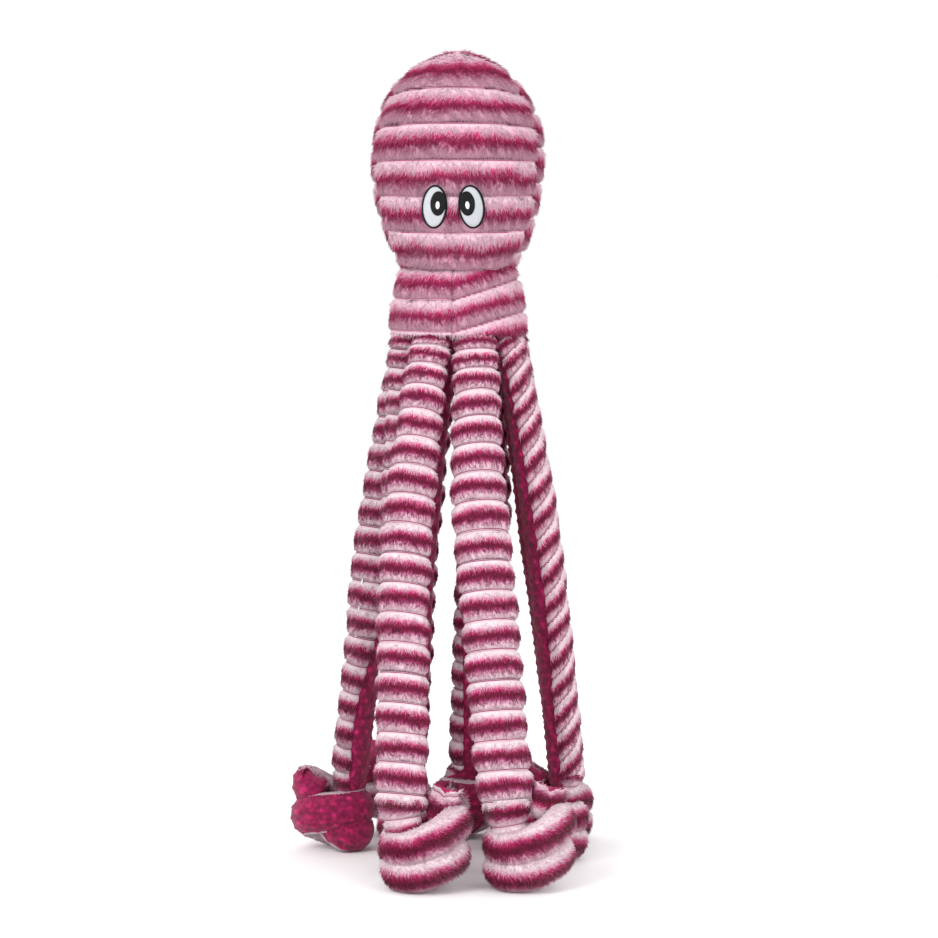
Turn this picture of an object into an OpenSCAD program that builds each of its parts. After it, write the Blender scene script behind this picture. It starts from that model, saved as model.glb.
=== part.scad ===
// Plush octopus toy with eight long knotted legs.
// +Z is up, -Y is the front, and the origin is on the floor under the middle of the whole toy.

/* [Head] */
// Height of the toy from the floor to the crown
total_h = 630; // [600:5:660]
// Half width of the head at its widest
head_r = 66; // [60:0.5:72]
// Height of the head above its widest level
crown_h = 78; // [70:1:90]
// Half height of the egg curve below the widest level
chin_h = 115; // [100:1:130]
// Thickness of the plush fabric with its pile
plush_t = 4; // [2:0.5:5]

/* [Collar] */
// Height of the collar's lower edge above the floor
collar_z = 416; // [400:1:430]
// Height of the seam between the head and the collar
neck_z = 467; // [455:1:475]
// Half width of the collar at its lower edge
collar_r = 53.5; // [50:0.5:56]

/* [Eyes] */
// Height of the eyes' middle
eye_z = 512; // [505:1:520]
// Half width of one eye
eye_a = 9.9; // [8:0.1:11]
// Half height of one eye
eye_b = 16.4; // [14:0.2:18]
// Half the distance between the eyes' middles
eye_x = 14; // [12:0.2:15]
// How far both eyes sit towards +X from the middle of the face
eye_shift = 1; // [0:0.5:2]
// Lean of each eye towards the other at its top
eye_lean = 5; // [0:1:8]
// Width of the embroidered outline
outline_w = 1.5; // [1:0.1:2]

/* [Legs] */
// Half width of a leg at its hip seam
hip_a = 16; // [14:0.5:16]
// Half thickness of a leg at its hip seam
hip_b = 12; // [10:0.5:12]
// Half width of a leg where it is full
leg_a = 21; // [18:0.5:21]
// Half thickness of a leg where it is full
leg_b = 15; // [13:0.5:15]
// Radius of the ring that the hips are sewn on
hip_ring_r = 43; // [43:0.5:44]
// Height of the bend in the middle of each leg
knee_z = 245; // [230:5:260]
// Height where the leg runs into its knot
ankle_z = 66; // [64:1:70]
// Half width of a knot
knot_r = 31; // [29:0.5:31]
// Clearance above and below each sewn bend
seam_gap = 0.6; // [0.4:0.1:0.8]
// Thickness of the dotted lining fabric
lining_t = 2.5; // [1.5:0.5:3]

/* [Hidden] */
widest_z = total_h - crown_h;
leg_top_z = collar_z - 2 * seam_gap;
film_t = 1.2;                 // crinkle film, folded several times
squeaker_z = 555;             // middle of the squeaker in the stuffing
around = 16;                  // points around an outer leg outline
seam_angle = -18;             // where the plush meets the lining, below the leg's own middle plane
legs = ["front_left", "front_right", "right", "rear_right", "rear", "rear_left", "left", "inner_left"];
hip_az = [-22.5, 22.5, 67.5, 112.5, 157.5, 202.5, 247.5, 292.5];   // from the front towards +X
face_az = [-20, 24, 93, 96, 250, 208, 246, 288];                   // which way the plush faces at the ankle
leg_bow = [-8.5, -5, 5.5, 0, 6, -5, -4, 0];                          // how far mid leg hangs towards +X
ankle_xy = [[-35, -100], [44, -94], [84, 18], [81, 92], [0, 97], [-54, 96], [-89, 41], [-46, -29]];
knot_xy = [[-17, -102], [61, -92], [67, 20], [68, 92], [4, 98], [-60, 100], [-104, 42], [-26, -28]];
// Middle of the knots' outer box, which is moved to the origin
middle = [for (k = [0, 1]) (max([for (p = knot_xy) p[k]]) + min([for (p = knot_xy) p[k]])) / 2];
pink = "#d98aa5";
magenta = "#8f1d4b";

// Half width of the head and collar at height z: an egg above the neck seam, a flared skirt below it
function skin_r(z) =
    z > widest_z ? head_r * sqrt(max(0, 1 - pow((z - widest_z) / crown_h, 2)))
    : z > neck_z ? head_r * sqrt(1 - pow((z - widest_z) / chin_h, 2))
    : collar_r - (collar_r - skin_r(neck_z + 0.01)) * pow((z - collar_z) / (neck_z - collar_z), 2);

head_levels = [for (k = [0:9]) neck_z + (widest_z - neck_z) * k / 10,
               for (k = [0:9]) widest_z + crown_h * sin(9 * k), total_h];
collar_levels = [for (k = [0:5]) collar_z + (neck_z - collar_z) * k / 5];

// Solid of revolution of the skin between the given levels, moved in by inset
module body_of(levels, inset) {
    rotate_extrude($fn = 96)
        polygon([[0, levels[0]],
                 for (z = levels) [max(0, skin_r(z) - inset), z],
                 [0, levels[len(levels) - 1]]]);
}

module head_shell() {
    difference() {
        body_of(head_levels, 0);
        translate([0, 0, -plush_t]) body_of([for (z = head_levels) min(z, total_h - 0.5)], plush_t);
        translate([0, 0, neck_z - 5]) cylinder(r = skin_r(neck_z + 0.01) - plush_t, h = 12, $fn = 96);
    }
}

module collar_shell() {
    difference() {
        body_of(collar_levels, 0);
        translate([0, 0, -1]) body_of(collar_levels, plush_t);
        translate([0, 0, neck_z - 10]) cylinder(r = skin_r(neck_z) - plush_t, h = 20, $fn = 96);
    }
}

// Half of whatever is drawn: side 1 keeps +axis, side -1 keeps -axis
module half(axis, side) {
    intersection() {
        children();
        translate(axis * side * 100 + [0, 0, 500]) cube([axis[0] == 0 ? 400 : 200,
                                                         axis[1] == 0 ? 400 : 200, 400], center = true);
    }
}

module head_front() { color(pink) half([0, 1, 0], -1) head_shell(); }
module head_back() { color("#c66f90") half([0, 1, 0], 1) head_shell(); }
module collar_left() { color("#cf7c9a") half([1, 0, 0], -1) collar_shell(); }
module collar_right() { color("#c87392") half([1, 0, 0], 1) collar_shell(); }

// Stuffing that fills the head and the collar, with the squeaker's pocket left out
module head_stuffing() {
    inset = plush_t + 0.3;
    color("white") difference() {
        union() {
            intersection() {
                translate([0, 0, -inset]) body_of([for (z = head_levels) min(z, total_h - 0.5)], inset);
                translate([0, 0, neck_z + 0.05]) cylinder(r = 2 * head_r, h = total_h - neck_z, $fn = 96);
            }
            translate([0, 0, collar_z + 3])
                cylinder(r = skin_r(neck_z) - plush_t - 1, h = neck_z - collar_z, $fn = 96);
        }
        translate([0, 0, squeaker_z]) sphere(r = 22.3, $fn = 48);
        translate([0, 0, squeaker_z - 32]) cylinder(r = 7.3, h = 20, $fn = 48);
    }
}

// Round plastic bulb with a short neck that holds the reed
module squeaker_bulb() {
    color("ivory") translate([0, 0, squeaker_z]) difference() {
        union() {
            sphere(r = 22, $fn = 48);
            translate([0, 0, -30]) cylinder(r = 7, h = 14, $fn = 48);
        }
        sphere(r = 20.6, $fn = 48);
        translate([0, 0, -31]) cylinder(r = 4.2, h = 20, $fn = 48);
    }
}

module squeaker_reed() {
    color("red") translate([0, 0, squeaker_z - 29.5]) difference() {
        cylinder(r = 4, h = 9, $fn = 48);
        translate([-0.6, -5, 1.5]) cube([1.2, 10, 6]);
    }
}

// Closed ellipse of half width a and half height b
function oval(a, b) = [for (k = [0:31]) [a * cos(k * 11.25), b * sin(k * 11.25)]];

// A patch on the face: what is drawn in the plane is carried through to the skin and raised by lift
module on_face(lift) {
    intersection() {
        rotate([90, 0, 0]) linear_extrude(height = 100) children();
        difference() {
            body_of([for (k = [0:8]) eye_z - 24 + 6 * k], -lift);
            body_of([for (k = [0:8]) eye_z - 24 + 6 * k], -0.02);
        }
    }
}

// Draws its children once for each eye, the right one mirrored
module each_eye() {
    for (side = [-1, 1]) translate([side * eye_x + eye_shift, eye_z]) rotate(side * eye_lean) scale([-side, 1])
        children();
}

module eye_oval(grow) { polygon(oval(eye_a + grow, eye_b + grow)); }
module pupil_oval() {
    intersection() {
        translate([2.9, 2.7]) polygon(oval(5.9, 9.2));
        eye_oval(-outline_w);
    }
}
module glint_oval() { translate([2.7, 1.4]) polygon(oval(1.5, 2.9)); }

module eye_whites() {
    color("gainsboro") on_face(0.9) each_eye() difference() { eye_oval(-outline_w); pupil_oval(); }
}
module eye_outlines() {
    color("black") on_face(1.3) each_eye() difference() { eye_oval(0); eye_oval(-outline_w); }
}
module eye_pupils() {
    color("#111111") on_face(1.2) each_eye() difference() { pupil_oval(); glint_oval(); }
}
module eye_glints() { color("white") on_face(1.4) each_eye() glint_oval(); }

// Flat magenta disc that closes the collar from below, inside the ring of hips
module base_disc() {
    color(magenta) translate([0, 0, collar_z]) cylinder(r = collar_r - plush_t - 0.3, h = 2.5, $fn = 96);
}

// How far along a leg height z lies: 0 at the hip, 1 at the ankle
function along(z) = (leg_top_z - z) / (leg_top_z - ankle_z);
function turned(az) = let (d = az - 360 * round(az / 360)) d;
function hip_xy(i) = hip_ring_r * [sin(hip_az[i]), -cos(hip_az[i])];
function leg_xy(i, z) = hip_xy(i) + (ankle_xy[i] - hip_xy(i)) * along(z)
    + [leg_bow[i] * sin(180 * pow(along(z), 0.85)), 0];
function facing(i, z) = hip_az[i] + turned(face_az[i] - hip_az[i]) * along(z);
function half_w(z) = hip_a + (leg_a - hip_a) * min(1, along(z) / 0.4);
function half_t(z) = hip_b + (leg_b - hip_b) * min(1, along(z) / 0.4);

// A point of leg i's section at height z: x across the leg, y outwards through its plush face
function placed(i, z, p) = let (f = facing(i, z)) concat(
    leg_xy(i, z) + p[0] * [cos(f), sin(f)] + p[1] * [sin(f), -cos(f)], z);

// Outline of the plush half, a thick C open towards the lining
function plush_outline(a, b) = [
    for (k = [0:around / 2]) let (t = seam_angle + (180 - 2 * seam_angle) * k / (around / 2))
        [a * cos(t), b * sin(t)],
    for (k = [around / 2:-1:0]) let (t = seam_angle + (180 - 2 * seam_angle) * k / (around / 2))
        [(a - plush_t) * cos(t), (b - plush_t) * sin(t) + (k == 0 || k == around / 2
            ? (b * sin(seam_angle) - (b - plush_t) * sin(seam_angle)) : 0)]];

// Outline of the lining, a shallow dish that closes the C, a hair below it
function lining_outline(a, b) = [
    for (k = [0:6]) let (t = 180 - seam_angle + (180 + 2 * seam_angle) * k / 6)
        [a * cos(t), b * sin(t) - 0.05],
    for (k = [6:-1:0]) let (t = 180 - seam_angle + (180 + 2 * seam_angle) * k / 6)
        [(a - lining_t) * cos(t), max(-b + lining_t, b * sin(t) - 0.05 + (k == 0 || k == 6 ? 0 : lining_t))]];

function film_outline(a, b) = [[-a + 7, 0], [a - 7, 0], [a - 7, film_t], [-a + 7, film_t]];

// Skin over a stack of rings of points, closed at both ends
module loft(rings) {
    n = len(rings[0]);
    m = len(rings);
    polyhedron(
        points = [for (ring = rings, p = ring) p],
        faces = concat(
            [[for (k = [0:n - 1]) k]],
            [for (j = [0:m - 2], k = [0:n - 1], side = [0, 1]) let (q = (k + 1) % n, o = j * n)
                side == 0 ? [o + k, o + n + k, o + n + q] : [o + k, o + n + q, o + q]],
            [[for (k = [n - 1:-1:0]) (m - 1) * n + k]]));
}

// Levels of a stretch of leg, from low to high
function levels(low, high, count) = [for (k = [0:count]) low + (high - low) * k / count];
upper_levels = levels(knee_z + seam_gap, leg_top_z, 5);
lower_levels = levels(ankle_z, knee_z - seam_gap, 4);

module leg_plush(i, zs) {
    color(pink) loft([for (z = zs) [for (p = plush_outline(half_w(z), half_t(z))) placed(i, z, p)]]);
}
module leg_lining(i, zs) {
    color(magenta) loft([for (z = zs) [for (p = lining_outline(half_w(z), half_t(z))) placed(i, z, p)]]);
}
module leg_film(i) {
    zs = levels(ankle_z + 6, knee_z - 8, 10);
    color("silver") loft([for (z = zs) [for (p = film_outline(half_w(z), half_t(z))) placed(i, z, p)]]);
}

// Knot: a bun of rings whose middle moves from the knot's own place over to the ankle
module leg_knot(i) {
    rings = [[0, 20, 0], [7, 27, 0], [18, knot_r, 0], [38, knot_r, 0], [54, 26, 0.45], [ankle_z, 17, 1]];
    color("#d58aa5") loft([for (r = rings) let (c = knot_xy[i] * (1 - r[2]) + ankle_xy[i] * r[2])
        [for (k = [0:11]) [c[0] + r[1] * cos(30 * k), c[1] + r[1] * sin(30 * k), r[0]]]]);
}

translate([-middle[0], -middle[1], 0]) {
    head_front();
    head_back();
    head_stuffing();
    squeaker_bulb();
    squeaker_reed();
    eye_whites();
    eye_outlines();
    eye_pupils();
    eye_glints();
    collar_left();
    collar_right();
    base_disc();
    for (i = [0:7]) {
        leg_plush(i, upper_levels);
        leg_lining(i, upper_levels);
        leg_plush(i, lower_levels);
        leg_lining(i, lower_levels);
        leg_film(i);
        leg_knot(i);
    }
}
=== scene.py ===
import math
import bpy
import numpy as np
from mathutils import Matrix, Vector


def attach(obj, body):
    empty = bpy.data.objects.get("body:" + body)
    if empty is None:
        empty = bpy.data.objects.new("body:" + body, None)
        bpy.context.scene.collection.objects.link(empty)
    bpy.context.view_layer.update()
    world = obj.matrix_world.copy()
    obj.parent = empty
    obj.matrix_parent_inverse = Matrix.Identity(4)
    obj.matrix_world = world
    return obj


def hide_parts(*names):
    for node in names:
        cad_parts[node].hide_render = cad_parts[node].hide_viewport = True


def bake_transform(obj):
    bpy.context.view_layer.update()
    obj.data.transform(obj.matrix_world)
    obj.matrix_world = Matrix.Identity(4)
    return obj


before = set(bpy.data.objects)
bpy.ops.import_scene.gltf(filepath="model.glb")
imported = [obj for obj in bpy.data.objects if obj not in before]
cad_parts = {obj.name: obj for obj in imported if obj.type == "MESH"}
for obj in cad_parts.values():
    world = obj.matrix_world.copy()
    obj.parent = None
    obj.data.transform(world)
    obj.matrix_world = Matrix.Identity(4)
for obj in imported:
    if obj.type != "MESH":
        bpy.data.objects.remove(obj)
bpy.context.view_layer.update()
rng = np.random.default_rng(8)
mm = 0.001
print("frame loaded")

# millimetres from the head's axis; the axis itself stands a little off the middle of the outer box
axisPlace = np.array([18.0, 1.0, 0.0])
legNames = ["front_left", "front_right", "right", "rear_right", "rear", "rear_left", "left", "inner_left"]
legSet = {
    "hipAzimuth": [-22.5, 22.5, 67.5, 112.5, 157.5, 202.5, 247.5, 292.5],
    "ankleFacing": [-20, 24, 95, 96, 250, 208, 259, 288],
    "ankle": [(-35, -100), (44, -94), (84, 18), (81, 92), (0, 97), (-54, 96), (-89, 41), (-46, -29)],
    "bow": [-8.5, -5.0, 5.5, 0.0, 6.0, -5.0, -4.0, 0.0],      # how far mid leg hangs towards +X
    "knot": [(-17, -102), (61, -92), (67, 20), (68, 92), (4, 98), (-60, 100), (-104, 42), (-26, -28)],
    "hipRing": 43.0, "topZ": 414.8, "ankleZ": 66.0, "kneeZ": 245.0, "splitZ": 292.0,
    "hipHalf": (16.0, 12.0), "fullHalf": (21.0, 15.0),
    "seamAngle": -18.0,                     # where plush meets lining, below the leg's own middle plane
    "ribPitch": 22.0, "ribDepth": 3.4,
    "skew": [0.0, 0.0, -1.5, -0.6, 0.0, 0.0, 0.0, 0.0],       # ribs that slant across a twisted leg
    "turn": [0.0, 0.0, 14.0, 0.0, 0.0, 0.0, 58.0, 10.0],      # extra turn, gone by the ankle
    "arch": [4.2, 4.2, 0.0, 2.0, 2.0, 2.0, 2.5, 2.0],         # rise of a rib in its middle
    "tightRibs": (1.1, 30.0),               # extra ribs under the hip, and the length over which they fade
    "phase": [0.35, 0.1, 0.6, 0.2, 0.75, 0.4, 0.9, 0.15],
    "broad": [1.0, 1.07, 0.94, 1.0, 1.0, 1.0, 1.0, 1.0],
}


def srgb(r, g, b):                          # screen colour 0-255 to linear
    c = np.array([r, g, b]) / 255.0
    c = np.where(c <= 0.04045, c / 12.92, ((c + 0.055) / 1.055) ** 2.4)
    return (float(c[0]), float(c[1]), float(c[2]), 1.0)


def newMaterial(name, roughness, sheen=0.0):
    material = bpy.data.materials.new(name)
    material.use_nodes = True
    shader = material.node_tree.nodes["Principled BSDF"]
    shader.inputs["Roughness"].default_value = roughness
    shader.inputs["Sheen Weight"].default_value = sheen
    shader.inputs["Sheen Roughness"].default_value = 0.5
    shader.inputs["Specular IOR Level"].default_value = 0.2
    return material, material.node_tree, shader


def attributeNode(tree, name, output="Fac"):
    node = tree.nodes.new("ShaderNodeAttribute")
    node.attribute_name = name
    return node.outputs[output]


def mathNode(tree, operation, a, b):
    node = tree.nodes.new("ShaderNodeMath")
    node.operation = operation
    for socket, value in zip(node.inputs, (a, b)):
        if isinstance(value, (int, float)):
            socket.default_value = value
        else:
            tree.links.new(value, socket)
    return node.outputs[0]


def noiseNode(tree, place, scale, detail=2.0):
    node = tree.nodes.new("ShaderNodeTexNoise")
    node.inputs["Scale"].default_value = scale
    node.inputs["Detail"].default_value = detail
    tree.links.new(place, node.inputs["Vector"])
    return node.outputs["Fac"]


def rampNode(tree, factor, stops):
    node = tree.nodes.new("ShaderNodeValToRGB")
    ramp = node.color_ramp
    while len(ramp.elements) < len(stops):
        ramp.elements.new(0.5)
    for element, (position, colour) in zip(ramp.elements, stops):
        element.position = position
        element.color = colour
    tree.links.new(factor, node.inputs["Fac"])
    return node.outputs["Color"]


def mixNode(tree, kind, factor, a, b):
    node = tree.nodes.new("ShaderNodeMix")
    node.data_type = "RGBA"
    node.blend_type = kind
    for socket, value in ((node.inputs["Factor"], factor), (node.inputs["A"], a), (node.inputs["B"], b)):
        if isinstance(value, (int, float, tuple)):
            socket.default_value = value
        else:
            tree.links.new(value, socket)
    return node.outputs["Result"]


def bumpNode(tree, height, strength, distance):
    node = tree.nodes.new("ShaderNodeBump")
    node.inputs["Strength"].default_value = strength
    node.inputs["Distance"].default_value = distance
    tree.links.new(height, node.inputs["Height"])
    return node.outputs["Normal"]


# Dye bands across a rib with painted shade in them: band 0 and 1 are the grooves, and the dark stops there
# are painted shadow in the groove; rootShade is painted shade at the roots of the pile
legDyeAndShade = {
    "stops": [(0.0, srgb(112, 70, 88)), (0.03, srgb(222, 190, 202)), (0.10, srgb(246, 226, 233)),
              (0.20, srgb(240, 208, 220)), (0.27, srgb(220, 124, 164)), (0.34, srgb(184, 38, 102)),
              (0.42, srgb(128, 8, 58)), (0.50, srgb(92, 2, 38)), (0.58, srgb(124, 14, 62)),
              (0.66, srgb(166, 62, 110)), (0.74, srgb(212, 148, 174)), (0.84, srgb(230, 196, 209)),
              (0.93, srgb(226, 196, 207)), (0.985, srgb(104, 66, 82))],
    "edgeNoise": 0.16, "patchNoise": 0.26, "rootShade": 0.66,
}
# on the head the duller, darker stops on each rib's lower, downward-facing side are partly the fabric's dye
# and partly painted shade
headDyeAndShade = {
    "stops": [(0.0, srgb(84, 44, 62)), (0.025, srgb(224, 182, 198)), (0.09, srgb(246, 212, 226)),
              (0.24, srgb(236, 176, 200)), (0.32, srgb(212, 84, 138)), (0.40, srgb(184, 24, 90)),
              (0.48, srgb(132, 10, 60)), (0.56, srgb(168, 58, 108)), (0.64, srgb(194, 120, 150)),
              (0.76, srgb(208, 156, 176)), (0.93, srgb(198, 146, 167)), (0.98, srgb(78, 40, 58))],
    "edgeNoise": 0.2, "patchNoise": 0.34, "rootShade": 0.64,
}


# band runs 0 to 1 across each rib; noise in the pile's own place frays the dye's edges. The colour is this
# dye with painted shade in it: shadow in the grooves, darker roots, and a darker copy of the whole plush
# where shade is below 1
def plushMaterial(name, dyeAndShade, shade):
    material, tree, shader = newMaterial(name, 0.9, 0.12)
    place = attributeNode(tree, "place", "Vector")
    band = attributeNode(tree, "band")
    fray = mathNode(tree, "SUBTRACT", noiseNode(tree, place, 360.0, 3.0), 0.5)
    patch = mathNode(tree, "SUBTRACT", noiseNode(tree, place, 38.0, 2.0), 0.5)
    inside = rampNode(tree, band, [(0.0, (0, 0, 0, 1)), (0.12, (1, 1, 1, 1)), (0.88, (1, 1, 1, 1)),
                                   (1.0, (0, 0, 0, 1))])          # the groove itself stays where it is
    moved = mathNode(tree, "ADD", mathNode(tree, "MULTIPLY", fray, dyeAndShade["edgeNoise"]),
                     mathNode(tree, "MULTIPLY", patch, dyeAndShade["patchNoise"]))
    moved = mathNode(tree, "ADD", band, mathNode(tree, "MULTIPLY", moved, inside))
    # painted shade: paintedShading darkens the pile's roots and the cloth under it by rootShade, and shade
    # below 1 darkens the whole plush; dyed below is the dye ramp times this painted shade
    low = dyeAndShade["rootShade"] * shade
    depth = rampNode(tree, attributeNode(tree, "paintedShading"),
                     [(0.0, (low, low, low, 1.0)), (1.0, (shade, shade, shade, 1.0))])
    dyed = mixNode(tree, "MULTIPLY", 1.0, rampNode(tree, moved, dyeAndShade["stops"]), depth)
    tree.links.new(dyed, shader.inputs["Base Color"])
    return material


def liningMaterial():
    material, tree, shader = newMaterial("dotted lining", 0.72, 0.16)
    place = attributeNode(tree, "place", "Vector")
    mottle = noiseNode(tree, place, 260.0, 3.0)
    fleece = rampNode(tree, mottle,
                      [(0.3, srgb(116, 8, 56)), (0.5, srgb(156, 16, 80)), (0.72, srgb(192, 36, 106))])
    # painted highlight and shade: the dots' crowns are lightened and the flat between them darkened,
    # following their lift
    crown = rampNode(tree, attributeNode(tree, "paintedShading"),
                     [(0.0, (0.66, 0.62, 0.64, 1.0)), (1.0, (1.35, 1.3, 1.3, 1.0))])
    tree.links.new(mixNode(tree, "MULTIPLY", 1.0, fleece, crown), shader.inputs["Base Color"])
    tree.links.new(bumpNode(tree, noiseNode(tree, place, 1500.0, 2.0), 0.5, 0.0006), shader.inputs["Normal"])
    return material


# satin stitch: fine straight ridges of thread from a stretched wave; the colour goes from dark in the dips
# to light on the ridges, a painted sheen along the stitches
def threadMaterial(name, dark, light, roughness):
    material, tree, shader = newMaterial(name, roughness)
    place = attributeNode(tree, "place", "Vector")
    wave = tree.nodes.new("ShaderNodeTexWave")
    wave.inputs["Scale"].default_value = 620.0
    wave.inputs["Distortion"].default_value = 0.8
    wave.bands_direction = "DIAGONAL"
    tree.links.new(place, wave.inputs["Vector"])
    # painted sheen: lighter where the wave raises the ridges
    colour = rampNode(tree, wave.outputs["Fac"], [(0.1, dark), (0.8, light)])
    tree.links.new(colour, shader.inputs["Base Color"])
    tree.links.new(bumpNode(tree, wave.outputs["Fac"], 0.6, 0.0003), shader.inputs["Normal"])
    return material


legPlush = plushMaterial("tie dyed leg plush", legDyeAndShade, 1.0)
# painted shade: the same leg plush darkened to 0.84, for five legs that stand in shade
paintedShadePlush = plushMaterial("tie dyed leg plush in painted shade", legDyeAndShade, 0.84)
headPlush = plushMaterial("tie dyed head plush", headDyeAndShade, 1.0)
# painted shade: the same head plush darkened to 0.86, for the back of the head
paintedShadeBackPlush = plushMaterial("tie dyed back plush in painted shade", headDyeAndShade, 0.86)
lining = liningMaterial()
whiteThread = threadMaterial("white satin thread", srgb(164, 167, 173), srgb(198, 201, 206), 0.42)
blackThread = threadMaterial("black satin thread", srgb(4, 4, 5), srgb(15, 15, 17), 0.5)
glintThread = threadMaterial("bright satin thread", srgb(235, 236, 238), srgb(252, 252, 252), 0.4)


def unit(v):
    return v / np.maximum(np.linalg.norm(v, axis=-1, keepdims=True), 1e-9)


# mesh of points (mm from the head's axis) and triangle or quad index arrays
def buildMesh(name, points, faceSets, materials, values):
    mesh = bpy.data.meshes.new(name)
    world = (points + axisPlace) * mm
    mesh.vertices.add(len(world))
    mesh.vertices.foreach_set("co", world.astype(np.float32).ravel())
    loops = np.concatenate([f.ravel() for f, _ in faceSets])
    sizes = np.concatenate([np.full(len(f), f.shape[1]) for f, _ in faceSets])
    slots = np.concatenate([np.full(len(f), slot) for f, slot in faceSets])
    mesh.loops.add(len(loops))
    mesh.loops.foreach_set("vertex_index", loops.astype(np.int32))
    mesh.polygons.add(len(sizes))
    mesh.polygons.foreach_set("loop_start", (np.cumsum(sizes) - sizes).astype(np.int32))
    mesh.polygons.foreach_set("material_index", slots.astype(np.int32))
    mesh.update(calc_edges=True)
    mesh.polygons.foreach_set("use_smooth", np.ones(len(sizes), bool))
    for key, value in values.items():
        attribute = mesh.attributes.new(key, "FLOAT", "POINT")
        attribute.data.foreach_set("value", value.astype(np.float32))
    place = mesh.attributes.new("place", "FLOAT_VECTOR", "POINT")
    place.data.foreach_set("vector", world.astype(np.float32).ravel())
    for material in materials:
        mesh.materials.append(material)
    piece = bpy.data.objects.new(name, mesh)
    bpy.context.scene.collection.objects.link(piece)
    return piece


# closed tube: every row of the grid is a closed loop, and both ends are closed by a fan
def tubeFaces(rows, columns, offset=0):
    r, c = np.meshgrid(np.arange(rows - 1), np.arange(columns), indexing="ij")
    n = (c + 1) % columns
    quads = np.stack([r * columns + c, (r + 1) * columns + c, (r + 1) * columns + n, r * columns + n], -1)
    return quads.reshape(-1, 4) + offset


def tubeCaps(rows, columns, firstCentre, lastCentre):
    c = np.arange(columns)
    n = (c + 1) % columns
    first = np.stack([np.full(columns, firstCentre), c, n], -1)
    last = np.stack([np.full(columns, lastCentre), (rows - 1) * columns + n, (rows - 1) * columns + c], -1)
    return np.concatenate([first, last])


furSet = {"width": 0.78, "flat": 0.45, "sink": 0.6, "clump": 3.2, "bandJitter": 0.02}


# Pile: thin closed three-sided spikes set on a grid, each lying down it from row to row
# (or across by comb), lifted off the cloth by lift, and swayed together in wandering clumps
def pileOn(grid, band, density, length, lift, keep=None, wander=0.45, comb=0.0):
    a, b = grid[:-1, :-1], grid[1:, :-1]
    c, d = grid[:-1, 1:], grid[1:, 1:]
    cross = np.cross(b - a, c - a)
    area = np.linalg.norm(cross, axis=-1).ravel()
    count = int(area.sum() * density)
    cell = np.searchsorted(np.cumsum(area) / area.sum(), rng.random(count)).clip(0, len(area) - 1)
    i, j = np.divmod(cell, a.shape[1])
    u, v = rng.random(count)[:, None], rng.random(count)[:, None]
    root = (a[i, j] * (1 - v) + b[i, j] * v) * (1 - u) + (c[i, j] * (1 - v) + d[i, j] * v) * u
    down = unit((b - a)[i, j] * (1 - u) + (d - c)[i, j] * u)
    side = unit((c - a)[i, j] * (1 - v) + (d - b)[i, j] * v)
    normal = unit(np.cross(down, side))
    w = ((band[:-1, :-1][i, j] * (1 - v[:, 0]) + band[1:, :-1][i, j] * v[:, 0]) * (1 - u[:, 0])
         + (band[:-1, 1:][i, j] * (1 - v[:, 0]) + band[1:, 1:][i, j] * v[:, 0]) * u[:, 0])
    chosen = np.ones(count, bool) if keep is None else keep(root)
    root, down, side, normal, w = root[chosen], down[chosen], side[chosen], normal[chosen], w[chosen]
    count = len(root)
    phase = (root @ np.array([0.9, 1.3, 0.7])) / furSet["clump"]
    sway = (np.sin(phase * 2.1) + np.sin(phase * 0.83 + 1.7)) * 0.5 * wander
    sway = (sway + rng.normal(0, wander * 0.5, count))[:, None]
    rise = lift * rng.uniform(0.6, 1.6, count)[:, None]
    lay = down * (1 - abs(comb)) + side * comb
    direction = unit(lay + np.cross(normal, lay) * sway + normal * rise)
    edge = np.minimum((w % 1.0) / 0.08, (1.0 - w % 1.0) / 0.24)
    size = length * (0.25 + 0.75 * np.clip(edge, 0, 1)) * rng.uniform(0.65, 1.2, count)
    w = np.floor(w) + np.clip(w % 1.0 + rng.normal(0, furSet["bandJitter"], count), 0.03, 0.96)
    across = unit(np.cross(direction, normal))
    through = np.cross(across, direction)
    width = furSet["width"] * rng.uniform(0.7, 1.3, count)[:, None]
    base = root - normal * furSet["sink"]
    corners = np.stack([base + across * width * 0.5 - through * width * furSet["flat"] * 0.4,
                        base - across * width * 0.5 - through * width * furSet["flat"] * 0.4,
                        base + through * width * furSet["flat"],
                        base + direction * size[:, None]], 1)
    corners[..., 2] = np.maximum(corners[..., 2], 0.3)       # pressed flat where it meets the floor
    k = np.arange(count)[:, None] * 4
    faces = np.concatenate([k + [0, 2, 1], k + [0, 1, 3], k + [1, 2, 3], k + [2, 0, 3]])
    # painted shade: darkest at each spike's roots and full at its tip, times a random tone of 0.85 to 1
    paintedShading = np.tile([0.25, 0.25, 0.35, 1.0], (count, 1)) * rng.uniform(0.85, 1.0, count)[:, None]
    return corners.reshape(-1, 3), faces, np.repeat(w, 4), paintedShading.ravel()


# Closed tube from two grids of rows, top to bottom: each row of outer and back together is one loop, and
# both ends are closed by a fan to the middle of the row
def closedTube(outer, back):
    loops = np.concatenate([outer, back], 1)
    rows, columns = loops.shape[:2]
    centres = np.stack([loops[0].mean(0), loops[-1].mean(0)])
    points = np.concatenate([loops.reshape(-1, 3), centres])
    return points, tubeFaces(rows, columns), tubeCaps(rows, columns, rows * columns, rows * columns + 1)


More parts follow.
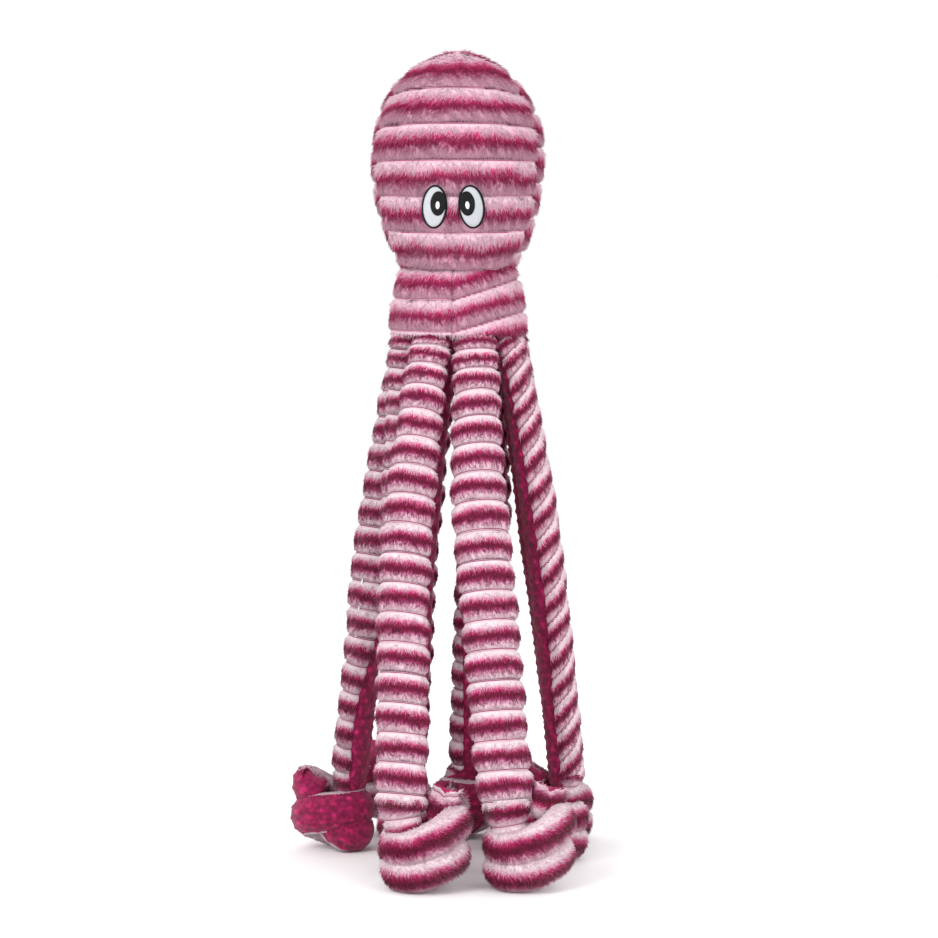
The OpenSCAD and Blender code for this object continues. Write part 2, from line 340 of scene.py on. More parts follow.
# outer is the side with pile, and back the side that closes it; backing is a second material for the back
def plushPiece(name, outer, back, band, material, density, length, lift, keep=None, backing=None, dots=None,
               wander=0.45, comb=0.0):
    rows, seen = outer.shape[:2]
    columns = seen + back.shape[1]
    points, quads, caps = closedTube(outer, back)
    bands = np.concatenate([band, np.repeat(band[:, -1:], columns - seen, 1)], 1).ravel()
    bands = np.concatenate([bands, [0.0, 0.0]])
    hair, hairFaces, hairBand, hairShading = pileOn(outer, band, density, length, lift, keep, wander, comb)
    allPoints = np.concatenate([points, hair])
    # painted shade: the cloth under the pile keeps the roots' dark value; on a lining back the dots' lift
    # lightens their crowns as a painted highlight
    paintedShading = np.full((rows, columns), 0.25)
    if dots is not None:
        paintedShading[:, seen:] = dots
    values = {"band": np.concatenate([bands, hairBand]) % 1.0,
              "paintedShading": np.concatenate([paintedShading.ravel(), [0.25, 0.25], hairShading])}
    if backing is None:
        return buildMesh(name, allPoints, [(quads, 0), (caps, 0), (hairFaces + len(points), 0)],
                         [material], values)
    behind = np.tile(np.arange(columns) >= seen, rows - 1)
    sets = [(quads[~behind], 0), (quads[behind], 1), (caps, 1), (hairFaces + len(points), 0)]
    return buildMesh(name, allPoints, sets, [material, backing], values)


# Lift of a rib at its own phase: 0 in the groove, 1 on the crown; a higher power is a narrower groove
def ribLift(phase, power=3.2):
    f = (phase % 1.0) ** 0.9
    return 1.0 - np.abs(2.0 * f - 1.0) ** power


print("materials ready")


def along(z):                               # 0 at the hip, 1 at the ankle
    return (legSet["topZ"] - z) / (legSet["topZ"] - legSet["ankleZ"])


def turned(angle):
    return angle - 360.0 * np.round(angle / 360.0)


# Frame of a leg at heights z: its middle on a line from hip to ankle with a sine bow, its facing as across
# and outward vectors, its half sizes, and how far the middle runs outward for each unit down
def legFrame(i, z):
    t = along(z)
    hipAngle = math.radians(legSet["hipAzimuth"][i])
    hip = legSet["hipRing"] * np.array([math.sin(hipAngle), -math.cos(hipAngle)])
    middle = hip + (np.array(legSet["ankle"][i]) - hip) * t[:, None]
    middle[:, 0] += legSet["bow"][i] * np.sin(math.pi * np.clip(t, 0, 1) ** 0.85)
    wobble = 0.9 * np.sin(t * 9.5 + i * 1.9) * np.clip(t * 4, 0, 1) * np.clip((1 - t) * 4, 0, 1)
    turn = turned(legSet["ankleFacing"][i] - legSet["hipAzimuth"][i])
    extra = np.clip(t / 0.15, 0, 1) * np.clip((0.9 - t) / 0.36, 0, 1)
    extra = legSet["turn"][i] * extra * extra * (3 - 2 * extra)
    angle = np.radians(legSet["hipAzimuth"][i] + turn * t + extra)
    across = np.stack([np.cos(angle), np.sin(angle)], -1)
    outward = np.stack([np.sin(angle), -np.cos(angle)], -1)
    middle = middle + across * wobble[:, None]
    grow = np.clip(t / 0.4, 0, 1)[:, None]
    half = np.array(legSet["hipHalf"]) + (np.array(legSet["fullHalf"]) - np.array(legSet["hipHalf"])) * grow
    half[:, 0] *= legSet["broad"][i]
    slope = ((np.array(legSet["ankle"][i]) - hip) @ outward.T) / (legSet["topZ"] - legSet["ankleZ"])
    return middle, across, outward, half, slope


# Rib phase down a leg: even pitch, with tighter ribs just under the hip
def legPhase(i, z):
    s = legSet["topZ"] - z
    extra, fade = legSet["tightRibs"]
    return s / legSet["ribPitch"] + extra * (1 - np.exp(-np.clip(s, -6, None) / fade)) + legSet["phase"][i]


# Points of a leg's section at angles theta and heights z, moved out by lift along the section's own radius
def legPoints(i, z, theta, lift):
    middle, across, outward, half, slope = legFrame(i, z)
    x = (half[:, :1] + lift) * np.cos(theta)
    y = (half[:, 1:] + lift) * np.sin(theta)
    flat = middle[:, None] + across[:, None] * x[..., None] + outward[:, None] * y[..., None]
    arch = legSet["arch"][i] * np.interp(along(z), [0.0, 0.14, 1.0], [0.0, 1.0, 0.15])[:, None]
    arch = arch * np.clip(np.sin(theta), 0, 1)
    level = z[:, None] + y * slope[:, None] + arch
    return np.concatenate([flat, level[..., None]], -1)


def legCloth(i):                            # five legs are given the plush with painted shade
    return legPlush if i < 3 else paintedShadePlush


legMesh = {"rowStep": 1.35, "plushColumns": 44, "liningColumns": 34, "backColumns": 6,
           "pileDensity": [1.1, 1.1, 1.05, 0.6, 0.65, 0.6, 1.05, 0.62], "pileLength": 4.3, "pileLift": 0.27}
dotSet = {"pitch": 9.6, "radius": 3.0, "height": 1.15}


# Raised dots on a staggered lattice: 1 on a dot's crown, falling in a smooth bump to 0 at its edge
def dotLift(u, v):
    pitch = dotSet["pitch"]
    rowPitch = pitch * 0.866
    best = np.full(u.shape, 9.0)
    for shift in (0, 1):
        row = np.round((v / rowPitch - shift) / 2) * 2 + shift
        column = np.round(u / pitch - 0.5 * shift) + 0.5 * shift
        best = np.minimum(best, np.hypot(u - column * pitch, v - row * rowPitch))
    f = np.clip(1 - best / dotSet["radius"], 0, 1)
    return f * f * (3 - 2 * f)


def legRows(high, low):
    return np.linspace(high, low, int((high - low) / legMesh["rowStep"]) + 1)


def straightBack(outer):                    # columns straight across from a strip's last one to its first
    steps = np.linspace(0, 1, legMesh["backColumns"] + 2)[1:-1][None, :, None]
    return outer[:, -1:] * (1 - steps) + outer[:, :1] * steps


plushShape = {"groove": 3.8, "crownDrop": 0.7, "ripple": (0.55, 0.4), "tuft": 0.9, "crease": 2.6,
              "creaseLeg": "left", "endTuck": 3.5}
liningShape = {"depth": 2.6, "edgeRise": 1.2, "slack": 0.7}


# Plush strip: a little over the outer half of the leg's section, moved in and out by ribs along the leg,
# with two sine ripples round it and a bell-shaped tuft where each rib meets the seam
def plushStretch(i, name, high, low, topTuck):
    z = legRows(high, low)
    seam = math.radians(legSet["seamAngle"])
    theta = np.linspace(math.pi - seam, seam, legMesh["plushColumns"])[None]
    phase = legPhase(i, z)[:, None] + legSet["skew"][i] * (theta - math.pi / 2) / math.pi
    tuck = topTuck * np.clip((z - (legSet["topZ"] - 7)) / 10.0, 0, 1)[:, None]
    tuck = tuck + plushShape["endTuck"] * np.clip((legSet["ankleZ"] + 4 - z) / 8.0, 0, 1)[:, None] ** 2
    full = ribLift(phase, plushShape["groove"])
    wide, fine = plushShape["ripple"]
    ripple = wide * np.sin(theta * 5 + phase * 2.3 + i) + fine * np.sin(theta * 11 - phase * 4.1)
    tuft = plushShape["tuft"] * np.exp(-(((phase % 1.0) - 0.5) / 0.16) ** 2) * np.abs(np.cos(theta)) ** 6
    crease = plushShape["crease"] * np.exp(-((theta - 2.05) / 0.13) ** 2)
    crease = crease if legNames[i] == plushShape["creaseLeg"] else 0.0
    crown = legSet["ribDepth"] - plushShape["crownDrop"] + ripple
    lift = -legSet["ribDepth"] + crown * full + tuft - tuck - crease
    outer = legPoints(i, z, theta, lift)
    return plushPiece(name, outer, straightBack(outer), phase, legCloth(i), legMesh["pileDensity"][i],
                      legMesh["pileLength"], legMesh["pileLift"])


# Lining strip: the rest of the section on its inner side, set in from the plush, with raised dots that
# fade at its edges
def liningStretch(i, name, high, low):
    z = legRows(high, low)
    seam = math.radians(legSet["seamAngle"])
    theta = np.linspace(seam, -math.pi - seam, legMesh["liningColumns"])[None]
    half = legFrame(i, z)[3]
    u = theta * 0.5 * (half[:, :1] + half[:, 1:])
    dots = dotLift(u, np.repeat(z[:, None], theta.shape[1], 1))
    edge = np.clip(np.minimum(theta - theta.min(), theta.max() - theta) / 0.35, 0, 1)
    slack = liningShape["slack"] * np.sin(z[:, None] / 17.0 + i) * np.sin(theta * 2.0)
    lift = -liningShape["depth"] + liningShape["edgeRise"] * edge + dotSet["height"] * dots * edge
    outer = legPoints(i, z, theta, lift + slack * edge)
    points, quads, caps = closedTube(outer, straightBack(outer))
    plain = np.zeros((len(z), legMesh["backColumns"]))
    # the dots' lift, kept for the painted highlight on their crowns
    paintedShading = np.concatenate([np.concatenate([dots, plain], 1).ravel(), [0, 0]])
    return buildMesh(name, points, [(quads, 0), (caps, 0)], [lining], {"paintedShading": paintedShading})


def framePoint(i, z):                       # middle of leg i at height z, in metres in the shared frame
    middle = legFrame(i, np.array([z]))[0][0]
    return tuple(float(v) for v in (np.array([middle[0], middle[1], z]) + axisPlace) * mm)


legCut = {"plushTop": 420.0, "liningTop": 418.0, "topTuck": 5.0, "belowAnkle": 4, "hipBend": (416.0, 372.0),
          "kneeReach": 26.0, "fill": 0.3}


def fitStrip(i, piece, node, bend):  # bend holds two heights on the leg; the leg's middle there is worked out but not used, and the strip is fixed in place without bending
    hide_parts(node)
    framePoint(i, bend[0])
    framePoint(i, bend[1])
    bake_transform(piece)


def makeLeg(i):
    name = legNames[i]
    split, knee, ankle = legSet["splitZ"], legSet["kneeZ"], legSet["ankleZ"] - legCut["belowAnkle"]
    kneeBend = (knee + legCut["kneeReach"], knee - legCut["kneeReach"])
    above = [(plushStretch(i, name + "_plush_above_knee", legCut["plushTop"], split, legCut["topTuck"]),
              name + "_upper_plush"),
             (liningStretch(i, name + "_lining_above_knee", legCut["liningTop"], split),
              name + "_upper_lining")]
    below = [(plushStretch(i, name + "_plush_below_knee", split, ankle, 0.0), name + "_lower_plush"),
             (liningStretch(i, name + "_lining_below_knee", split, ankle), name + "_lower_lining")]
    for piece, node in above:
        fitStrip(i, piece, node, legCut["hipBend"])
    for piece, node in below:
        fitStrip(i, piece, node, kneeBend)


for legIndex in range(len(legNames)):
    makeLeg(legIndex)
print("legs made")


# Knots at the ends of the legs: the leg's strand goes in, winds twice round itself and comes out as a tail
knotSet = {"middleZ": 34.5, "half": (13.6, 11.5), "flippedHalf": (16.0, 12.5), "rows": (230, 180),
           "tail": (12.5, 3.4), "pileDensity": [0.85, 0.85, 0.8, 0.55, 0.55, 0.55, 0.8, 0.7],
           "pileLength": 4.8, "pileLift": 0.36,
           "beginHalf": (19.5, 13.5), "beginLength": 30.0, "endLength": 30.0,
           "bandFrom": 32.0, "bandUntil": 24.0, "bandWide": 2.35, "openTip": 26.0, "clear": 9.5,
           "fray": 4.6, "floorGap": 0.6, "flipped": ["left", "rear"],
           "shortTail": ["left", "rear", "inner_left", "right", "rear_right"],
           "winding": [(-13, 1, 5), (-3, -5, -9), (-14, -12, -18), (-22, -3, -20), (-14, 9, -21),
                       (2, 13, -18.5), (15, 9, -13), (22, -2, -8), (13, -13, -4), (-8, -15, -1),
                       (-22, -6, 0), (-19, 7, -2), (-6, 14, 0), (9, 14, 7), (20, 6, 15), (23, -4, 18),
                       (17, -11, 19), (13, -6, 25), (14, -3, 34), (16, -2, 42)]}


# Smooth curve through given points, worked out at even steps of its length
def smoothPath(points, count):
    p = np.concatenate([2 * points[:1] - points[1:2], points, 2 * points[-1:] - points[-2:-1]])
    t = np.linspace(0, 1, 14, endpoint=False)[:, None, None]
    a, b, c, d = p[:-3], p[1:-2], p[2:-1], p[3:]
    curve = 0.5 * (2 * b + (c - a) * t + (2 * a - 5 * b + 4 * c - d) * t ** 2
                   + (3 * b - a - 3 * c + d) * t ** 3)
    curve = np.concatenate([curve.transpose(1, 0, 2).reshape(-1, 3), points[-1:]])
    run = np.concatenate([[0], np.cumsum(np.linalg.norm(np.diff(curve, axis=0), axis=1))])
    even = np.linspace(0, run[-1], count)
    return np.stack([np.interp(even, run, curve[:, k]) for k in range(3)], -1), even


# Middle line of a knot: from the ankle down its own side, then the winding, given as (along, out, up)
# from the knot's middle, where along points from the ankle's side to the tail's
def knotLine(i):
    ankle = np.array([*legSet["ankle"][i], legSet["ankleZ"]])
    home = np.array([*legSet["knot"][i], knotSet["middleZ"]])
    away = home[:2] - ankle[:2]
    reach = float(np.linalg.norm(away))
    across = np.array([*(away / reach), 0.0])
    outward = np.array([across[1], -across[0], 0.0])
    if outward @ np.array([*home[:2], 0.0]) < 0:             # the wound side faces away from the toy
        outward = -outward
    start = [(-reach, 0.0, ankle[2] + 4 - home[2]), (-reach * 0.97, 0.5, ankle[2] - 10 - home[2])]
    winding = knotSet["winding"][:-2] if legNames[i] in knotSet["shortTail"] else knotSet["winding"]
    local = np.array(start + winding, float)
    points = home + local[:, :1] * across + local[:, 1:2] * outward + local[:, 2:] * np.array([0, 0, 1.0])
    return points, home, outward


# The strand's cross-section is an ellipse, plush on the side away from the knot's middle, or towards it
# on a flipped knot; its dye runs round the leg as far as the knot, and along the strand inside it
def makeKnot(i):
    name = legNames[i]
    flipped = name in knotSet["flipped"]
    control, home, outward = knotLine(i)
    line, run = smoothPath(control, knotSet["rows"][0 if i < 3 or i > 5 else 1])
    tangent = unit(np.gradient(line, axis=0))
    facing = math.radians(legSet["ankleFacing"][i])
    legOut = np.array([math.sin(facing), -math.cos(facing), 0.0])
    flat = (line - home) * np.array([1.0, 1.0, 0.35])
    radial = unit(flat) * (-1.0 if flipped else 1.0)
    mix = np.clip((run - 14) / 40.0, 0, 1)[:, None]
    normal = legOut * (1 - mix) + radial * mix
    atTail = np.clip((run - run[-1] + 34.0) / 22.0, 0, 1)[:, None]
    normal = normal * (1 - atTail) + outward * atTail        # the tail shows its plush side
    for _ in range(12):                     # even out the twist along the strand
        normal = unit(normal - tangent * (normal * tangent).sum(-1, keepdims=True))
        normal[1:-1] = (normal[:-2] + normal[1:-1] * 2 + normal[2:]) / 4
    normal = unit(normal - tangent * (normal * tangent).sum(-1, keepdims=True))
    side = np.cross(normal, tangent)
    begin = np.clip(1 - run / knotSet["beginLength"], 0, 1)[:, None]
    end = np.clip((run - run[-1] + knotSet["endLength"]) / knotSet["endLength"], 0, 1)[:, None]
    wound = np.array(knotSet["flippedHalf"] if flipped else knotSet["half"])
    half = wound + (np.array(knotSet["beginHalf"]) - wound) * begin
    half = half + (np.array(knotSet["tail"]) - half) * end ** 1.2
    seam = math.radians(legSet["seamAngle"])
    theta = np.linspace(math.pi - seam, seam, 38)[None]
    under = np.linspace(seam, -math.pi - seam, 64 if flipped else 22)[None]
    ring = legPhase(i, np.array([legSet["ankleZ"]]))[0] + run[:, None] / legSet["ribPitch"] + 0 * theta
    lengthwise = np.clip(0.52 + (theta - math.pi / 2) / knotSet["bandWide"], 0.05, 0.93) + 0 * run[:, None]
    inKnot = (run[:, None] > knotSet["bandFrom"]) & (run[:, None] < run[-1] - knotSet["bandUntil"])
    phase = np.where(inKnot, lengthwise, ring)
    lift = np.where(inKnot, 0.0, -3.0 + 2.6 * ribLift(ring))
    dots = dotLift(under * half.mean(1)[:, None] * 1.1, np.repeat(run[:, None], under.shape[1], 1))

    def section(angle, grow):
        x = (half[:, :1] + grow) * np.cos(angle)
        y = (half[:, 1:] + grow * 0.9) * np.sin(angle)
        at = line[:, None] + side[:, None] * x[..., None] + normal[:, None] * y[..., None]
        fray = knotSet["fray"]
        frayed = fray * np.abs(np.cos(angle)) ** 0.7 - fray / 2 + 0.5 * np.sin(angle * 7)
        at = at + tangent[:, None] * (frayed * end ** 3)[..., None]      # two-pointed ragged tail
        at[..., 2] = np.maximum(at[..., 2], knotSet["floorGap"])     # flat where it rests on the floor
        return at

    outer = section(theta, lift)
    inner = section(under, -1.2 + dotSet["height"] * dots)
    spaced = line[run < run[-1] - knotSet["openTip"]][::3]

    def clearOfStrand(root):                # no pile where another turn of the strand lies over it
        gap = np.linalg.norm(root[:, None] - spaced[None], axis=-1)
        return (gap < knotSet["clear"]).sum(1) == 0

    piece = plushPiece(name + "_tied_knot", outer, inner, phase, legCloth(i), knotSet["pileDensity"][i],
                       knotSet["pileLength"], knotSet["pileLift"], clearOfStrand, lining, dots,
                       comb=-0.65)
    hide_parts(name + "_knot")
    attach(piece, name + "_lower_leg")


for legIndex in range(len(legNames)):
    makeKnot(legIndex)
print("knots made")


# Head and collar
headSet = {"radius": 66.0, "crown": 78.0, "chin": 115.0, "widestZ": 552.0, "topZ": 630.0, "neckZ": 467.0,
           "collarZ": 416.0, "collarR": 53.5, "ribPitch": 27.8, "firstGroove": 603.0, "ribDepth": 2.8,
           "panelAngle": 74.0, "panelFoot": 55.0, "pileDensity": 0.85, "pileLength": 6.5, "pileLift": 0.42,
           "collarPitch": 24.9, "collarSlant": 0.30}
eyeSet = {"z": 512.0, "x": (-13.0, 15.0), "a": 9.9, "b": 16.4, "lean": 5.0, "outline": 1.5,
          "standOff": 1.3, "domeRise": 1.5,
          "stitchDepth": 0.06, "stitches": 60, "pupil": (5.9, 9.2), "pupilAt": (2.9, 2.7),
          "glint": (1.5, 2.9), "glintAt": (2.7, 1.4)}


# Skin radius at height z: two half ellipses that meet at the widest level
def skinRadius(z):
    crown = np.sqrt(np.clip(1 - ((z - headSet["widestZ"]) / headSet["crown"]) ** 2, 0, None))
    chin = np.sqrt(np.clip(1 - ((z - headSet["widestZ"]) / headSet["chin"]) ** 2, 0, None))
    return headSet["radius"] * np.where(z > headSet["widestZ"], crown, chin)


def collarRadius(z):
    neck = skinRadius(np.array(headSet["neckZ"]))
    t = (z - headSet["collarZ"]) / (headSet["neckZ"] - headSet["collarZ"])
    return headSet["collarR"] - (headSet["collarR"] - neck) * t ** 2


# Points of a surface of revolution at heights z and azimuths phi, moved out by lift along its normal
def roundPoints(radiusOf, z, phi, lift):
    slope = (radiusOf(z + 0.05) - radiusOf(z - 0.05)) / 0.1
    slope = np.clip(slope, -8, 8)[:, None]
    size = np.sqrt(1 + slope ** 2)
    r = np.maximum(radiusOf(z)[:, None] + lift / size, 0.15)
    return np.stack([r * np.sin(phi), -r * np.cos(phi), z[:, None] - lift * slope / size + 0 * phi], -1)


def eyeFrame(point):                        # a point's place in the plane of the nearer eye
    side = np.where(point[:, 0] > 1.0, 1.0, -1.0)
    lean = math.radians(eyeSet["lean"])
    x = -side * (point[:, 0] - np.where(side > 0, eyeSet["x"][1], eyeSet["x"][0]))
    z = point[:, 2] - eyeSet["z"]
    return x * math.cos(lean) - z * math.sin(lean), x * math.sin(lean) + z * math.cos(lean)


def awayFromEyes(root):                     # pile starts outside the eyes, further off above them
    x, z = eyeFrame(root)
    outside = (x / (eyeSet["a"] + 0.4)) ** 2 + ((z - 2.2) / (eyeSet["b"] + 2.6)) ** 2 > 1
    return outside | (root[:, 1] > 0)


# Head panel: the skin between two side edges that draw in on a quarter ellipse towards the neck, with ribs
# at even heights that bow across the face, grooves between them, and a bell-shaped peak on the crown
def headPanel(name, node, front):
    arc = np.linspace(math.pi / 2 - 0.03, 0, 76)
    z = np.concatenate([headSet["widestZ"] + headSet["crown"] * np.sin(arc),
                        np.linspace(headSet["widestZ"], headSet["neckZ"] - 2.0, 60)[1:]])
    drop = np.clip((502.0 - z) / 36.0, 0, 1)
    edge = headSet["panelFoot"] + (headSet["panelAngle"] - headSet["panelFoot"]) * np.sqrt(1 - drop ** 2)
    edge = np.radians(edge)[:, None]
    if front:
        phi = edge * np.linspace(-1, 1, 92)[None]
    else:
        phi = edge + (2 * math.pi - 2 * edge) * np.linspace(0, 1, 124)[None]
    bow = (7.0 - 12.0 * np.clip((603.0 - z) / 123.0, -0.2, 1.1))[:, None]
    bowed = z[:, None] + bow * (1 - np.cos(phi)) * (1.0 if front else 0.35)
    offset = 0.0 if front else 0.42
    phase = (headSet["firstGroove"] + headSet["ribPitch"] - bowed) / headSet["ribPitch"] + offset
    fold = 0.5 * np.sin(phi * 9 + phase * 2.1) + 0.35 * np.sin(phi * 17 - phase * 3.3)
    body = ribLift(phase, 7.0)
    depth = (headSet["ribDepth"] * (1 - 0.4 * np.clip((506.0 - z) / 14.0, 0, 1)))[:, None]
    lift = -depth + (depth - 0.9 + fold) * body
    width = np.maximum(skinRadius(z)[:, None], 4.0)
    toSeam = np.minimum(phi - phi[:, :1], phi[:, -1:] - phi) * width
    lift = np.maximum(lift - 2.0 * np.clip(1 - toSeam / 5.0, 0, 1) ** 2, -depth)
    fromTop = skinRadius(z) / 13.0 + np.where(z < headSet["widestZ"], 9.0, 0.0)
    lift = lift + 2.6 * np.exp(-fromTop ** 2)[:, None]                   # a small peak on the crown
    foot = np.clip(1 - (z - (headSet["neckZ"] - 2.0)) / 9.0, 0, 1)[:, None]
    if front:
        lift = lift + 3.4 * np.sin(np.clip(foot, 0, 1) * math.pi * 0.75) * np.clip(toSeam / 8.0, 0, 1)
    outer = roundPoints(skinRadius, z, phi, lift)
    inner = roundPoints(skinRadius, z, phi[:, ::-1][:, ::8], np.full((len(z), 1), -7.5))
    # the back panel takes the head plush with painted shade
    piece = plushPiece(name, outer, inner, phase, headPlush if front else paintedShadeBackPlush,
                       headSet["pileDensity"] * (1.0 if front else 0.72),
                       headSet["pileLength"], headSet["pileLift"], awayFromEyes if front else None,
                       wander=0.75)
    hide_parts(node)
    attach(piece, "body")


headPanel("face_panel", "head_front", True)
headPanel("crown_back_panel", "head_back", False)


# Collar half: the collar's surface over half a turn, with ribs level on the left and slanted on the right
def collarPanel(name, node, right):
    z = np.linspace(headSet["neckZ"] + 1.5, headSet["collarZ"] - 1.0, 44)
    start = math.radians(-1.0)
    if right:
        phi = start + np.linspace(0, math.pi, 96)[None] + 0 * z[:, None]
    else:
        phi = start - np.linspace(math.pi, 0, 96)[None] + 0 * z[:, None]
    slant = headSet["collarSlant"] * 50.0 * np.sin(phi) * (1.0 if right else 0.0)
    phase = (headSet["neckZ"] - z[:, None] + slant) / headSet["collarPitch"] + (0.0 if right else 0.02) + 2.0
    lift = -3.4 + 2.5 * ribLift(phase, 6.0) + 0.45 * np.sin(phi * 11 + phase)
    toSeam = np.minimum(phi - phi[:, :1], phi[:, -1:] - phi) * 48.0
    lift = lift - 1.6 * np.clip(1 - toSeam / 4.0, 0, 1) ** 2
    foot = np.clip(1 - (z - headSet["collarZ"]) / 5.0, 0, 1.2)[:, None]
    top = np.clip((z - headSet["neckZ"] + 5.0) / 6.5, 0, 1)[:, None]
    lift = lift * (1 - foot.clip(0, 1)) - 1.5 * foot ** 2 - 2.0 * top
    outer = roundPoints(collarRadius, z, phi, lift)
    inner = roundPoints(collarRadius, z, phi[:, ::-1][:, ::8], np.full((len(z), 1), -7.0))
    piece = plushPiece(name, outer, inner, phase, headPlush, headSet["pileDensity"], 5.5, 0.36, wander=0.7)
    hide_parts(node)
    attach(piece, "body")


collarPanel("collar_left_panel", "collar_left", False)
collarPanel("collar_right_panel", "collar_right", True)
print("head and collar made")


# Closed cushion between an upper and a lower surface over a disc: rows run out from the middle over
# the top, round the rim, and back in underneath; shape(radius 0..1, angle) gives both surfaces
def discPiece(name, shape, rings, columns, material):
    radius = np.concatenate([np.linspace(0.03, 1, rings), np.linspace(1, 0.03, rings)])
    upper = np.concatenate([np.ones(rings), np.zeros(rings)])
    angle = np.linspace(0, 2 * math.pi, columns, endpoint=False)[None]
    grids = shape(radius[:, None], angle, upper[:, None])
    points, faces = [], []
    for grid in grids:
        base = sum(len(p) for p in points)
        rows = len(radius)
        points.append(np.concatenate([grid.reshape(-1, 3), grid[0].mean(0)[None], grid[-1].mean(0)[None]]))
        faces += [(tubeFaces(rows, columns, base), 0),
                  (tubeCaps(rows, columns, rows * columns, rows * columns + 1) + base, 0)]
    allPoints = np.concatenate(points)
    return buildMesh(name, allPoints, faces, [material], {"paintedShading": np.full(len(allPoints), 0.5)})


# One embroidered shape on both eyes; half sizes and middle are in the eye's own plane, x towards the nose
def onEyes(half, middle, rise, crown, sink):
    def shape(radius, angle, upper):
        grids = []
        for side, place in zip((-1.0, 1.0), eyeSet["x"]):
            way = angle if side < 0 else math.pi - angle
            x = middle[0] + half[0] * radius * np.cos(way)
            z = middle[1] + half[1] * radius * np.sin(way)
            lean = math.radians(eyeSet["lean"])
            along0 = x * math.cos(lean) + z * math.sin(lean)
            level = eyeSet["z"] - x * math.sin(lean) + z * math.cos(lean)
            flat = place - side * along0
            dome = 1 - (x / eyeSet["a"]) ** 2 - (z / eyeSet["b"]) ** 2
            stitch = eyeSet["stitchDepth"] * np.cos(angle * eyeSet["stitches"])
            base = eyeSet["standOff"] + eyeSet["domeRise"] * dome + rise
            lift = base + crown * np.sqrt(np.clip(1 - radius ** 2, 0, None)) + stitch
            lift = np.where(upper > 0.5, lift, base - sink)
            r = skinRadius(level) + lift
            grids.append(np.stack([flat, -np.sqrt(np.clip(r ** 2 - flat ** 2, 0, None)), level], -1))
        return grids
    return shape


def embroider(name, node, material, shape):
    piece = discPiece(name, shape, 8, 180, material)
    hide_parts(node)
    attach(piece, "body")


whiteHalf = (eyeSet["a"] - eyeSet["outline"], eyeSet["b"] - eyeSet["outline"])
embroider("eye_border_stitching", "eye_outlines", blackThread,
          onEyes((eyeSet["a"], eyeSet["b"]), (0, 0), 0.0, 0.5, 4.0))
embroider("eye_white_stitching", "eye_whites", whiteThread,
          onEyes(whiteHalf, (0, 0), 0.25, 0.55, 1.0))
embroider("eye_pupil_stitching", "eye_pupils", blackThread,
          onEyes(eyeSet["pupil"], eyeSet["pupilAt"], 1.0, 0.45, 1.2))
embroider("eye_glint_stitching", "eye_glints", glintThread,
          onEyes(eyeSet["glint"], eyeSet["glintAt"], 1.5, 0.3, 1.2))
print("eyes embroidered")


def undersideShape(radius, angle, upper):   # a gathered disc: radial puckers that deepen at the rim
    r = 49.5 * radius
    pucker = 0.7 * np.cos(angle * 24) * radius ** 2
    z = np.where(upper > 0.5, 418.6, 415.8 + 1.2 * radius) + pucker * np.where(upper > 0.5, 0.2, 1.0)
    return [np.stack([r * np.cos(angle), r * np.sin(angle), z], -1)]


underside = discPiece("underside_disc", undersideShape, 14, 144, lining)
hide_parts("base_disc")
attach(underside, "body")


# Hidden parts keep their own shapes and get their own materials
def hiddenMaterial(name, dark, light, roughness, scale, bump, metal=0.0):
    material, tree, shader = newMaterial(name, roughness)
    coordinates = tree.nodes.new("ShaderNodeTexCoord")
    noise = noiseNode(tree, coordinates.outputs["Object"], scale, 4.0)
    tree.links.new(rampNode(tree, noise, [(0.35, dark), (0.65, light)]), shader.inputs["Base Color"])
    tree.links.new(bumpNode(tree, noise, bump, 0.001), shader.inputs["Normal"])
    shader.inputs["Metallic"].default_value = metal
    return material


wadding = hiddenMaterial("polyester wadding", srgb(222, 222, 218), srgb(247, 247, 245), 0.95, 160.0, 0.8)
bulbPlastic = hiddenMaterial("ivory squeaker plastic", srgb(226, 219, 196), srgb(238, 232, 214),
                             0.4, 60.0, 0.08)
reedPlastic = hiddenMaterial("red reed plastic", srgb(170, 28, 26), srgb(196, 40, 34), 0.35, 90.0, 0.05)
crinkleFilm = hiddenMaterial("crinkle film", srgb(176, 180, 186), srgb(226, 229, 233), 0.22, 75.0, 0.9, 0.6)


def finishNode(node, material):
    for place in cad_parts[node].material_slots:
        place.material = material


finishNode("head_stuffing", wadding)
finishNode("squeaker_bulb", bulbPlastic)
finishNode("squeaker_reed", reedPlastic)
for legName in legNames:
    finishNode(legName + "_crinkle_film", crinkleFilm)


# Studio: pale floor, soft lamps, and a camera a little to the right of straight on
studio = {"distance": 2300.0, "azimuth": 4.5, "height": 497.0, "pitch": 4.66, "aimRight": 8.5, "lens": 114.0,
          "floor": 60.0, "sky": 1.06}
lamps = {                                   # place, target, size, power
    "key lamp": ((-1.3, -2.1, 1.9), (0, 0, 0.35), 1.5, 43.0),
    "fill lamp": ((1.7, -1.8, 1.0), (0, 0, 0.3), 1.6, 19.5),
    "back lamp": ((0.6, 1.8, 1.8), (0, 0, 0.4), 1.4, 10.0),
}


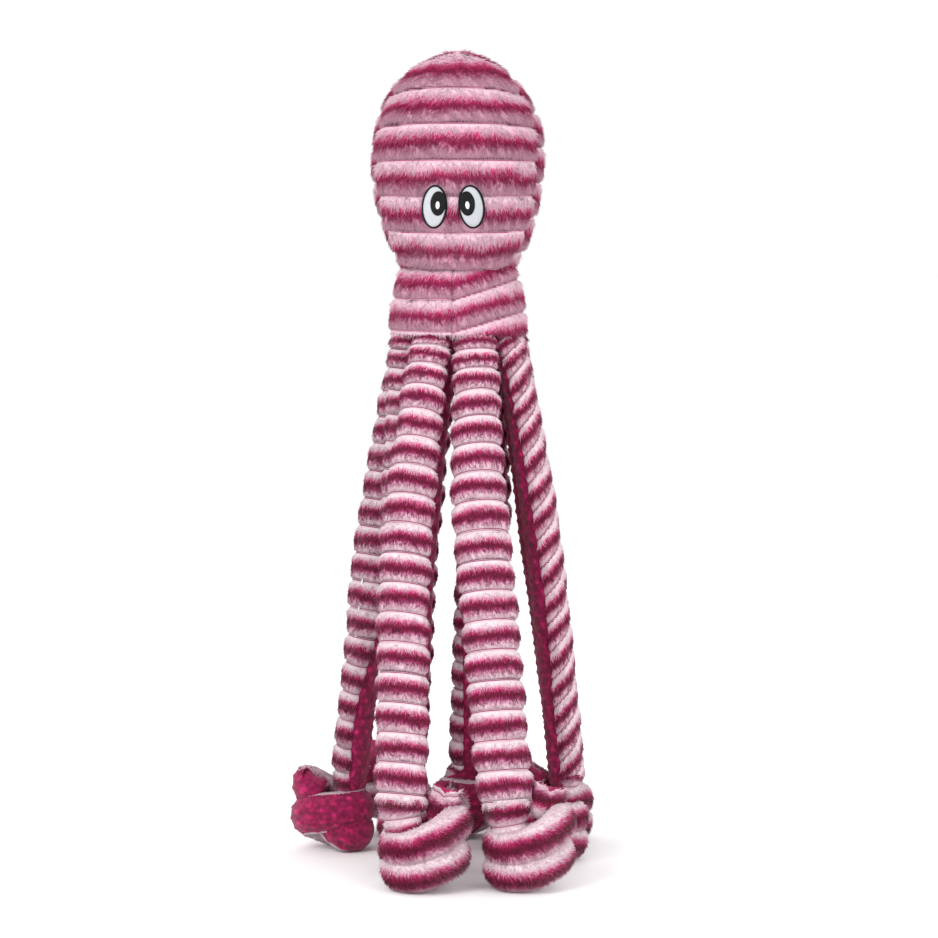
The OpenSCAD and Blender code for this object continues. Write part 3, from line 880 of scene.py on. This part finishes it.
def addLamp(name, place, target, size, power):
    lamp = bpy.data.lights.new(name, "AREA")
    lamp.shape = "DISK"
    lamp.size = size
    lamp.energy = power
    holder = bpy.data.objects.new(name, lamp)
    bpy.context.scene.collection.objects.link(holder)
    holder.location = place
    holder.rotation_euler = (Vector(target) - Vector(place)).to_track_quat("-Z", "Y").to_euler()


def addStudio():
    side = studio["floor"] / 2
    mesh = bpy.data.meshes.new("studio_floor")
    corners = [(-side, -side, 0), (side, -side, 0), (side, side, 0), (-side, side, 0)]
    mesh.from_pydata(corners, [], [(0, 1, 2, 3)])
    floor = bpy.data.objects.new("studio_floor", mesh)
    bpy.context.scene.collection.objects.link(floor)
    pale = hiddenMaterial("pale floor", srgb(249, 249, 249), srgb(252, 252, 252), 0.9, 3.0, 0.02)
    mesh.materials.append(pale)
    world = bpy.data.worlds.new("pale studio")
    world.use_nodes = True
    world.node_tree.nodes["Background"].inputs["Color"].default_value = srgb(255, 255, 255)
    world.node_tree.nodes["Background"].inputs["Strength"].default_value = studio["sky"]
    bpy.context.scene.world = world
    for name, setting in lamps.items():
        addLamp(name, *setting)


def addCamera():
    angle = math.radians(studio["azimuth"])
    out = Vector((math.sin(angle), -math.cos(angle), 0.0))
    right = Vector((math.cos(angle), math.sin(angle), 0.0))
    axis = Vector(tuple(float(v) * mm for v in axisPlace))
    place = axis + out * studio["distance"] * mm + Vector((0, 0, studio["height"] * mm))
    level = (axis + right * studio["aimRight"] * mm - place)
    level.z = 0.0
    level.normalize()
    pitch = math.radians(studio["pitch"])
    look = level * math.cos(pitch) + Vector((0, 0, -math.sin(pitch)))
    data = bpy.data.cameras.new("studio camera")
    data.lens = studio["lens"]
    data.sensor_width = 36.0
    data.clip_end = 50.0
    camera = bpy.data.objects.new("studio camera", data)
    bpy.context.scene.collection.objects.link(camera)
    camera.location = place
    camera.rotation_euler = look.to_track_quat("-Z", "Y").to_euler()
    bpy.context.scene.camera = camera


addStudio()
addCamera()
bpy.context.scene.view_settings.view_transform = "Standard"
print("studio ready")
